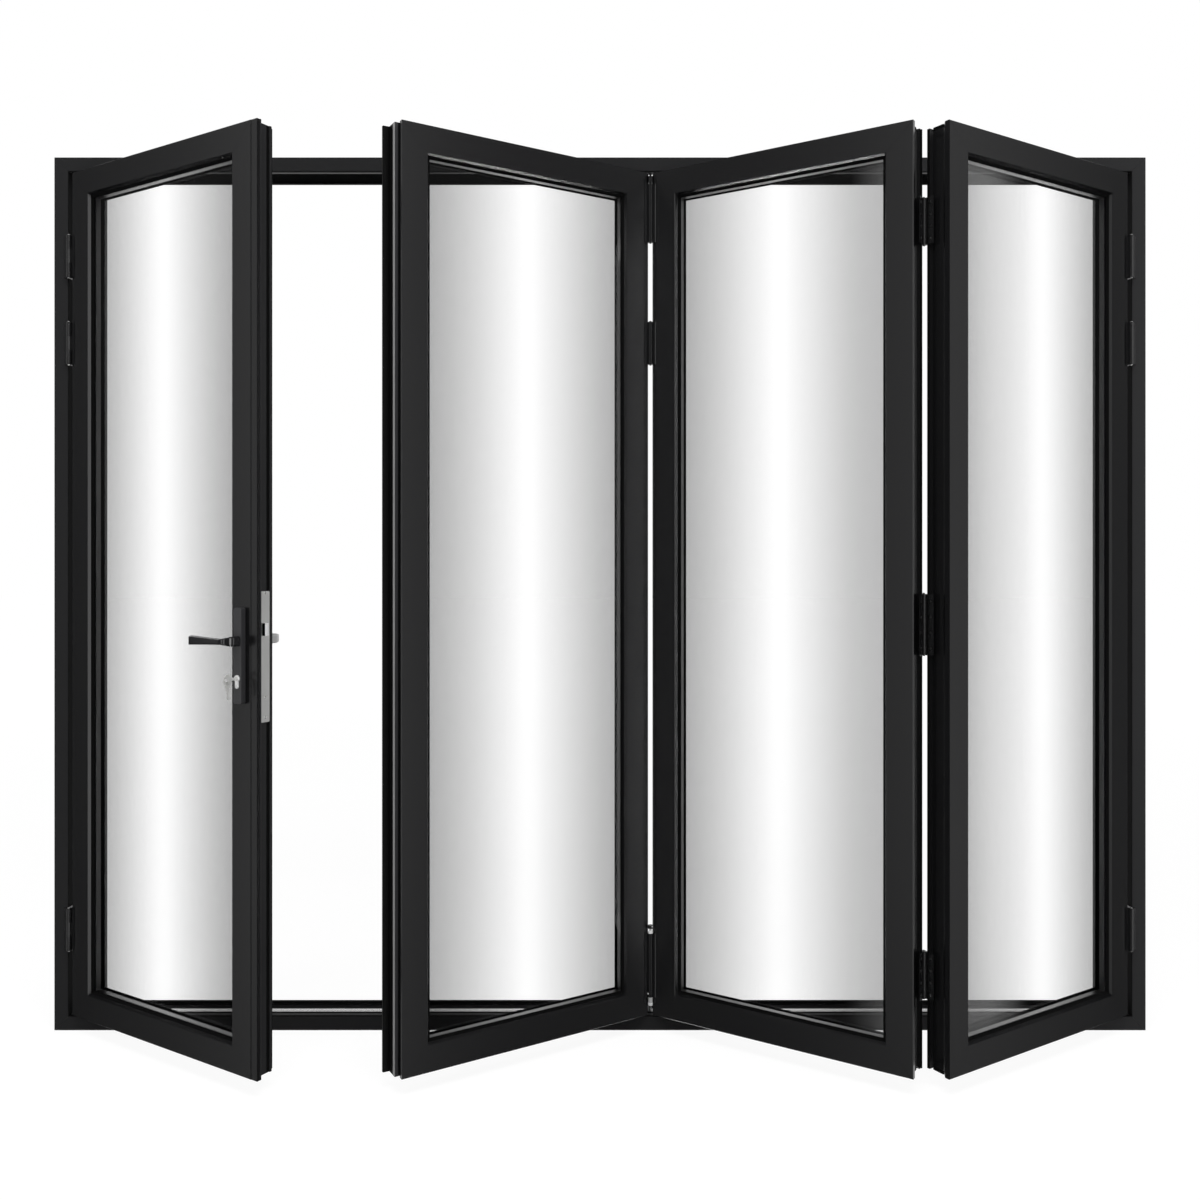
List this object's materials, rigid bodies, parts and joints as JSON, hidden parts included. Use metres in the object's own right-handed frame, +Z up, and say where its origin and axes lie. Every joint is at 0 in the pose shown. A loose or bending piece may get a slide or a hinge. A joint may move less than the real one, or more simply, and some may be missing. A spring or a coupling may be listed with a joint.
{
  "type": "bifold patio door",
  "caption": "Black aluminium bifold glass patio door in its frame: a hinged access leaf with a lever lock on the left jamb, and leaves that fold to the right jamb on a head track.",
  "frame": {"origin": "centre of the sill's flat underside", "axes": "+X along the doorway to the right as seen from outside, +Y from outside to inside, +Z up"},
  "size_m": [3.048, 0.5283, 2.438],
  "materials": {
    "black_powder_coat": "satin black powder coat on aluminium",
    "mill_aluminium": "mill finish",
    "stainless_steel": "satin stainless",
    "nickel_plated_brass": "nickel plated",
    "clear_glass": "clear double glazing, one solid here"
  },
  "bodies": {
    "frame": {"frame_head": "black_powder_coat", "frame_sill": "black_powder_coat", "left_jamb": "black_powder_coat", "right_jamb": "black_powder_coat", "head_track": "black_powder_coat", "sill_guide_rail": "mill_aluminium", "leaf_2_left_stile": "black_powder_coat", "leaf_2_right_stile": "black_powder_coat", "leaf_2_bottom_rail": "black_powder_coat", "leaf_2_top_rail": "black_powder_coat", "leaf_2_glass": "clear_glass", "leaf_2_glazing_bead": "black_powder_coat", "leaf_3_left_stile": "black_powder_coat", "leaf_3_right_stile": "black_powder_coat", "leaf_3_bottom_rail": "black_powder_coat", "leaf_3_top_rail": "black_powder_coat", "leaf_3_glass": "clear_glass", "leaf_3_glazing_bead": "black_powder_coat", "leaf_4_left_stile": "black_powder_coat", "leaf_4_right_stile": "black_powder_coat", "leaf_4_bottom_rail": "black_powder_coat", "leaf_4_top_rail": "black_powder_coat", "leaf_4_glass": "clear_glass", "leaf_4_glazing_bead": "black_powder_coat", "leaf_2_meeting_profile": "black_powder_coat", "left_jamb_hinge_1": "black_powder_coat", "left_jamb_hinge_2": "black_powder_coat", "left_jamb_hinge_3": "black_powder_coat", "right_jamb_hinge_1": "black_powder_coat", "right_jamb_hinge_2": "black_powder_coat", "right_jamb_hinge_3": "black_powder_coat", "fold_2_3_hinge_top": "black_powder_coat", "fold_2_3_hinge_middle": "black_powder_coat", "fold_2_3_hinge_bottom": "black_powder_coat", "fold_3_4_hinge_1": "black_powder_coat", "fold_3_4_hinge_2": "black_powder_coat", "fold_3_4_hinge_3": "black_powder_coat", "top_carrier": "black_powder_coat", "bottom_guide": "black_powder_coat"},
    "access_leaf": {"leaf_1_left_stile": "black_powder_coat", "leaf_1_right_stile": "black_powder_coat", "leaf_1_bottom_rail": "black_powder_coat", "leaf_1_top_rail": "black_powder_coat", "leaf_1_glass": "clear_glass", "leaf_1_glazing_bead": "black_powder_coat", "leaf_1_meeting_profile": "black_powder_coat", "leaf_1_hinge_1": "black_powder_coat", "leaf_1_hinge_2": "black_powder_coat", "leaf_1_hinge_3": "black_powder_coat", "handle_plate_outside": "black_powder_coat", "handle_plate_inside": "black_powder_coat", "lock_cylinder": "stainless_steel", "lock_faceplate": "stainless_steel", "keys": "nickel_plated_brass"},
    "lever": {"lever_handles": "black_powder_coat"},
    "latch": {"latch_bolt": "stainless_steel"}
  },
  "joints": [
    {"name": "access_leaf_hinge", "type": "hinge", "parent": "frame", "child": "access_leaf", "pos_m": [-1.4795, -0.0634, 1.219], "axis": [0, 0, 1], "range_deg": [-138.2, 31.8]},
    {"name": "lever_turn", "type": "hinge", "parent": "access_leaf", "child": "lever", "pos_m": [-0.88185, -0.42408, 1.117], "axis": [-0.527, -0.8499, 0], "range_deg": [0, 45], "stiffness_Nm_per_rad": 1.2, "springref_deg": -45.84},
    {"name": "latch_slide", "type": "slide", "parent": "access_leaf", "child": "latch", "axis": [0.8499, -0.527, 0], "range_m": [-0.0095, 0]}
  ],
  "couplings": [
    {"joint": "latch_slide", "follows": "lever_turn", "m_per_rad": -0.012}
  ]
}
